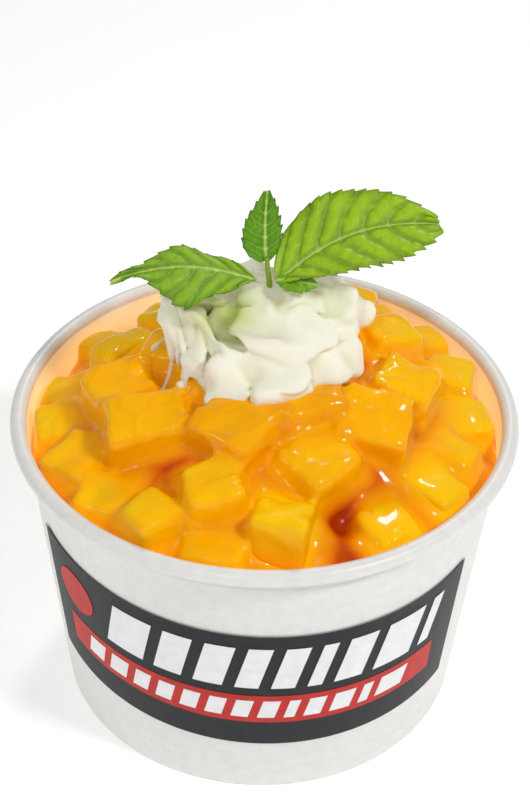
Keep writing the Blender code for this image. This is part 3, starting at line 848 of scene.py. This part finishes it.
def drapePath(path, surface):
    # points along a path, dropped on the sauce and eased as something runny lies
    spots = []
    for start, stop in zip(path, path[1:]):
        parts = max(int(math.dist(start, stop) / trickle["spacing"]), 1)
        spots += [[a + (b - a) * i / parts for a, b in zip(start, stop)] for i in range(parts)]
    spots = np.array(spots + [path[-1]])
    drop = Vector((0, 0, -1))
    heights = [surface.ray_cast(Vector((x, y, trickle["above"])), drop)[0].z for x, y in spots]
    run = np.column_stack([spots, heights])
    for _ in range(trickle["slack"]):
        run[1:-1] = (run[:-2] + 2 * run[1:-1] + run[2:]) / 4
    return run


def makeTrickles(sauceSurface):
    curve = bpy.data.curves.new("cream_trickles", "CURVE")
    curve.dimensions = "3D"
    curve.bevel_depth = mm    # each point's radius scales it
    curve.bevel_resolution = 3
    curve.use_fill_caps = True
    for width, path in trickle["paths"]:
        run = drapePath(path, sauceSurface)
        line = curve.splines.new("POLY")
        line.points.add(len(run) - 1)
        for i, (point, spot) in enumerate(zip(line.points, run)):
            share = i / (len(run) - 1)
            thin = trickle["waist"] * math.sin(math.pi * min(share * 1.15, 1.0))
            wobble = trickle["wobble"] * math.sin(trickle["wobbles"] * share)
            point.co = (*(spot * mm), 1)
            point.radius = width * (1.0 - thin + wobble)
            point.radius *= min((1.02 - share) * trickle["tip"], 1.0) ** 0.5
    holder = bpy.data.objects.new("cream_trickles", curve)
    bpy.context.scene.collection.objects.link(holder)
    graph = bpy.context.evaluated_depsgraph_get()
    mesh = bpy.data.meshes.new_from_object(holder.evaluated_get(graph))
    bpy.data.objects.remove(holder)
    piece = bpy.data.objects.new("cream_trickles", mesh)
    bpy.context.scene.collection.objects.link(piece)
    mesh.materials.clear()
    mesh.materials.append(meltedCream)
    mesh.shade_smooth()
    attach(piece, "root")


# upper and lower: the greatest half width on each side of the midrib, then the two powers that place and
# round it; the left leaf points the other way, so its upper side is the one that hangs down in front
mintLeaves = {
    "mint_leaf_right": {
        "foot": (2.0, -2.2, 106.0), "tip": (35.2, 1.0, 119.3), "faces": (-0.25, -0.55, 0.80),
        "upper": (10.2, 0.716, 0.54), "lower": (9.0, 1.357, 0.567), "bow": 4.0, "arch": 2.0, "cup": 0.10,
        "teeth": 15, "toothDepth": 0.075, "relief": 0.55, "veins": 7, "low": "#4E7A04", "high": "#9CC01A",
        "curl": 0.5},
    "mint_leaf_centre": {
        "foot": (-0.4, 1.2, 109.2), "tip": (-0.4, 4.6, 124.3), "faces": (0.15, -0.95, 0.30),
        "upper": (5.0, 0.62, 0.8), "lower": (3.4, 0.8, 0.75), "bow": 0.3, "arch": -0.6, "cup": 0.22,
        "teeth": 8, "toothDepth": 0.12, "relief": 0.24, "veins": 6, "low": "#235E02", "high": "#5E9A08",
        "curl": 0.3},
    "mint_leaf_left": {
        "foot": (-1.7, -2.0, 106.4), "tip": (-32.8, -3.0, 106.3), "faces": (-0.10, -0.45, 0.89),
        "upper": (5.6, 0.844, 1.1), "lower": (4.8, 1.05, 0.75), "bow": -1.8, "arch": 3.0, "cup": -0.10,
        "lobe": 4.0, "narrow": 0.55,    # mm its upper side bulges out, and how much narrower the tip is
        "teeth": 12, "toothDepth": 0.08, "relief": 0.55, "veins": 7, "low": "#3C7408", "high": "#8CB42A",
        "curl": 1.1},
    "mint_leaf_small": {
        "foot": (1.6, -1.6, 106.6), "tip": (10.2, -3.2, 106.6), "faces": (0.1, -0.55, 0.83),
        "upper": (2.0, 1.0, 0.7), "lower": (2.6, 1.0, 0.7), "bow": 0.0, "arch": 0.5, "cup": 0.15,
        "teeth": 6, "toothDepth": 0.10, "relief": 0.16, "veins": 5, "low": "#3F8408", "high": "#74A814",
        "curl": 0.2},
}
mint = {
    "rows": 132, "columns": 22, "blade": 0.32,
    "start": 0.012, "span": 0.982,      # shares of the length, which keep both ends blunt
    # teeth: how close they keep to the edge, the upper side's shift and share, and their lean to the tip
    "toothPower": 8, "toothLag": 0.3, "upperTeeth": 0.45, "toothLean": 0.35,
    "lobePlace": 0.46, "lobeWidth": 0.13, "narrowFrom": 0.66, "narrowFade": 0.18,    # shares of the length
    "veinSweep": 0.20,    # share of the length a side vein runs forward
    "veinWidth": 0.55, "ribWidth": 0.22, "ribFoot": 0.25,    # mm; the midrib widens to its foot
    "cellLong": 2.6, "cellWide": 2.2, "ribFlat": 0.8,    # mm, the quilting and the flat by the midrib
    "cellDepth": 1.6, "pillow": 0.75, "quilt": 0.45,
}
mintStalk = {
    "path": ((0.4, 1.5, 97.0), (0.5, 1.2, 101.0), (0.4, 0.8, 104.5), (0.0, 0.5, 107.5), (-0.3, 1.0, 110.5)),
    "halfWidth": 0.75, "thinning": 0.08,    # mm, and the share lost at each point of the path
}


def mintMaterial(name, low, high):
    # fresh mint leaf, picked: waxy green blade, pale veins and a soft sheen over the quilting
    material, tree, shader = newMaterial(name, {
        "Roughness": 0.45, "IOR": 1.4, "Specular IOR Level": 0.3, "Coat Weight": 0.08,
        "Coat Roughness": 0.25, "Subsurface Weight": 0.08, "Subsurface Radius": (0.4, 1.0, 0.1),
        "Subsurface Scale": 0.001})
    # painted shade: the bulge attribute draws the quilting's hollows darker green and its bulges lighter
    bulge = addNode(tree, "ShaderNodeAttribute", {"attribute_name": "bulge"})
    cloud = noiseAt(tree, 3.0, 4.0)
    mixed = addNode(tree, "ShaderNodeMath", {"operation": "MULTIPLY_ADD", 1: 0.5},
                    {0: cloud.outputs["Fac"], 2: bulge.outputs["Fac"]})
    tone = colourRamp(tree, mixed.outputs["Value"], ((0.2, low), (0.85, high)))
    vein = addNode(tree, "ShaderNodeAttribute", {"attribute_name": "vein"})
    tint = addNode(tree, "ShaderNodeMix", {"data_type": "RGBA"})
    tree.links.new(vein.outputs["Fac"], tint.inputs[0])
    tree.links.new(tone.outputs["Color"], tint.inputs[6])
    tint.inputs[7].default_value = linear("#C3D968")
    tree.links.new(tint.outputs[2], shader.inputs["Base Color"])
    addBump(tree, shader, noiseAt(tree, 0.35, 2.0).outputs["Fac"], 0.04, 0.5)
    return material


def leafPoint(leaf, length, along, across):
    # one point of a blade: its share of the length, its way across, its height, its vein and its bulge
    upperSide = across > 0
    most, shift, soft = leaf["upper"] if upperSide else leaf["lower"]
    half = most * max(math.sin(math.pi * along ** shift), 0.0) ** soft
    edge = abs(across) ** mint["toothPower"]
    tooth = (along * leaf["teeth"] + (mint["toothLag"] if upperSide else 0.0)) % 1.0
    depth = leaf["toothDepth"] * (mint["upperTeeth"] if upperSide else 1.0)
    if upperSide:
        hang = (along - mint["lobePlace"]) / mint["lobeWidth"]
        half += leaf.get("lobe", 0.0) * math.exp(-hang ** 2)
    half *= 1.0 - leaf.get("narrow", 0.0) * smoothStep((along - mint["narrowFrom"]) / mint["narrowFade"])
    half *= 1.0 + depth * edge * (1.6 * tooth ** 1.4 - 0.8)
    spot = min(along + mint["toothLean"] * tooth * edge / leaf["teeth"], 1.0)
    bow = leaf["bow"] * math.sin(math.pi * spot) ** 0.8
    wide = across * half
    # side veins leave the midrib and sweep towards the tip
    phase = leaf["veins"] * (spot - mint["veinSweep"] * abs(across) ** 1.3)
    fromVein = abs(phase - round(phase)) * 2
    rib = math.exp(-(wide / (mint["ribWidth"] + mint["ribFoot"] * (1 - spot))) ** 2)
    sideVein = math.exp(-(fromVein * length / leaf["veins"] / mint["veinWidth"]) ** 2) * (1 - edge)
    place = Vector((spot * length / mint["cellLong"], wide / mint["cellWide"], leaf["veins"]))
    cell = noise.voronoi(place)[0]
    net = min((cell[1] - cell[0]) * mint["cellDepth"], 1.0)
    body = (1.0 - math.exp(-(wide / mint["ribFlat"]) ** 2)) * (1 - edge * 0.7)
    bulge = body * (mint["pillow"] * (1.0 - (1.0 - fromVein) ** 2) + mint["quilt"] * net)
    height = leaf["relief"] * (bulge * 1.5 - 0.5) + leaf["arch"] * math.sin(math.pi * spot)
    height += leaf["cup"] * abs(wide)
    height += leaf["curl"] * across * across * math.sin(5.3 * spot * math.pi + across)
    vein = min(rib * 0.9 + sideVein * 0.35 + (0.12 if net < 0.10 else 0.0), 1.0)
    # the bulge also sets the painted shade in the quilting's hollows
    return spot, bow + wide, height, vein, bulge * 0.75


def makeLeaf(name, leaf):
    foot = Vector(leaf["foot"])
    tip = Vector(leaf["tip"])
    length = (tip - foot).length
    run = (tip - foot).normalized()
    side = Vector(leaf["faces"]).cross(run).normalized()
    out = run.cross(side)
    rows = mint["rows"]
    columns = mint["columns"]
    points = []
    veins = []
    bulges = []
    for row in range(rows + 1):
        along = mint["start"] + mint["span"] * row / rows
        for column in range(-columns, columns + 1):
            spot, wide, height, vein, bulge = leafPoint(leaf, length, along, column / columns)
            points.append(tuple(foot + run * length * spot + side * wide + out * height))
            veins.append(vein)
            bulges.append(bulge)
    width = 2 * columns + 1
    faces = []
    for row in range(rows):
        for i in range(width - 1):
            a = row * width + i
            faces.append((a, a + width, a + width + 1, a + 1))
    material = mintMaterial(name.replace("leaf", "leafFresh"), leaf["low"], leaf["high"])
    piece = meshPiece(name.replace("leaf", "blade"), points, faces, material, True,
                      {"vein": veins, "bulge": bulges})
    shell = piece.modifiers.new("blade", "SOLIDIFY")
    shell.thickness = mint["blade"] * mm
    shell.offset = 0.0
    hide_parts(name)
    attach(piece, "root")


def makeStem():
    path = mintStalk["path"]
    curve = bpy.data.curves.new("mint_stalk", "CURVE")
    curve.dimensions = "3D"
    curve.bevel_depth = mintStalk["halfWidth"] * mm
    curve.bevel_resolution = 5
    curve.use_fill_caps = True
    line = curve.splines.new("NURBS")
    line.points.add(len(path) - 1)
    for i, (point, place) in enumerate(zip(line.points, path)):
        point.co = (*[v * mm for v in place], 1.0)
        point.radius = 1.0 - mintStalk["thinning"] * i
    line.use_endpoint_u = True
    line.order_u = 3
    line.resolution_u = 8
    piece = bpy.data.objects.new("mint_stalk", curve)
    bpy.context.scene.collection.objects.link(piece)
    curve.materials.append(mintMaterial("mintStemFresh", "#7E9E2E", "#A9BF4E"))
    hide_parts("mint_stem")
    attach(piece, "root")


makeStage()
paper = paperMaterial()
mango = mangoMaterial()
mangoSauce = sauceMaterial()
whippedCream = creamMaterial()
meltedCream = meltedCreamMaterial()
print("cup and label")
makeCup()
makeLabel()
nodes["cup_bottom"].data.materials.clear()
nodes["cup_bottom"].data.materials.append(paper)
print("dice")
blocks = readDice()
makeDice(blocks)
print("sauce")
sauceSurface = makeSauce(blocks)
print("cream")
makeCream()
makeTrickles(sauceSurface)
print("mint")
for name, leaf in mintLeaves.items():
    makeLeaf(name, leaf)
makeStem()
